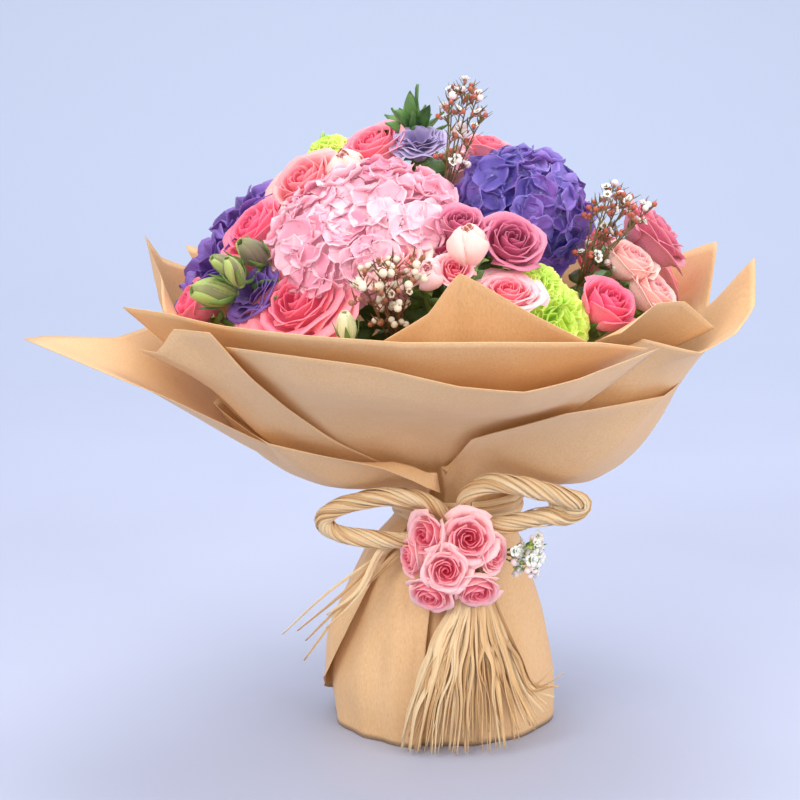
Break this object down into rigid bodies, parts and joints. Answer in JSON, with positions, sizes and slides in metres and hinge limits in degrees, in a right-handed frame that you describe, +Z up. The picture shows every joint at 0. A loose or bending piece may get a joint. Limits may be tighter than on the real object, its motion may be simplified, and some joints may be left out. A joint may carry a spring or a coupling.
{
  "type": "mixed flower bouquet in a kraft paper wrap",
  "caption": "Hand-tied bouquet of roses, lisianthus, hydrangea, carnation and waxflower in folded kraft paper, with a raffia bow and tassel and a posy of roses tucked in at the tie.",
  "frame": {"origin": "cut end of the middle stem, on the surface that the stems and the paper's hem stand on", "axes": "+Z up along the stems, -Y towards the front with the posy and the bow, +X to the right seen from the front"},
  "size_m": [0.5258, 0.4151, 0.4909],
  "materials": {
    "kraft_paper": "matte",
    "raffia": "matte",
    "twine": "matte",
    "stem": "satin",
    "leaf": "satin",
    "bud_green": "satin",
    "lime": "matte",
    "hydrangea_pink": "matte",
    "hydrangea_blue": "matte",
    "deep_violet": "matte",
    "lavender": "matte",
    "hot_pink": "matte",
    "coral_pink": "matte",
    "peach_pink": "matte",
    "pale_pink": "matte",
    "mauve_pink": "matte",
    "dusty_pink": "matte",
    "wax_white": "satin"
  },
  "bodies": {
    "root": {"wrap_left": "kraft_paper", "wrap_front_panel": "kraft_paper", "wrap_right": "kraft_paper", "left_wing": "kraft_paper", "left_fold": "kraft_paper", "front_sheet": "kraft_paper", "inner_collar": "kraft_paper", "right_sheet": "kraft_paper", "left_back_sheet": "kraft_paper", "back_sheet": "kraft_paper", "posy_rose_1": "peach_pink", "posy_rose_2": "peach_pink", "posy_rose_3": "peach_pink", "posy_rose_4": "peach_pink", "posy_rose_5": "peach_pink", "posy_rose_6": "peach_pink", "posy_rose_7": "peach_pink", "posy_waxflower": "wax_white", "raffia_band": "raffia", "raffia_bow": "raffia", "raffia_tassel": "raffia", "posy_stems": "stem", "rose_bud_pale": "pale_pink", "rose_open_front": "peach_pink", "rose_pink_right": "hot_pink", "rose_coral": "coral_pink", "rose_pale": "pale_pink", "rose_spray_low": "pale_pink", "carnations_right": "lime", "roses_pale_right": "pale_pink", "rose_mauve": "mauve_pink", "roses_mauve_small": "mauve_pink", "lisianthus_buds_left": "bud_green", "bud_cream_front": "bud_green", "rose_hot_low": "hot_pink", "rose_hot": "hot_pink", "lisianthus_front": "deep_violet", "lisianthus_left": "deep_violet", "lisianthus_upper": "deep_violet", "rose_peach": "peach_pink", "rose_bud_top": "pale_pink", "lisianthus_lavender": "lavender", "waxflower_top": "wax_white", "rose_top": "coral_pink", "rose_crown_right": "coral_pink", "carnation_back": "lime", "rose_dusty_right": "dusty_pink", "hydrangea_blue": "hydrangea_blue", "hydrangea_pink": "hydrangea_pink", "lisianthus_back": "deep_violet", "hydrangea_pink_back": "hydrangea_pink", "hydrangea_blue_back": "hydrangea_blue", "roses_back_right": "coral_pink", "roses_back_left": "hot_pink", "waxflower_front": "wax_white", "waxflower_right": "wax_white", "top_leaves": "leaf", "stem_bundle": "stem", "stem_binding": "twine"}
  },
  "joints": []
}
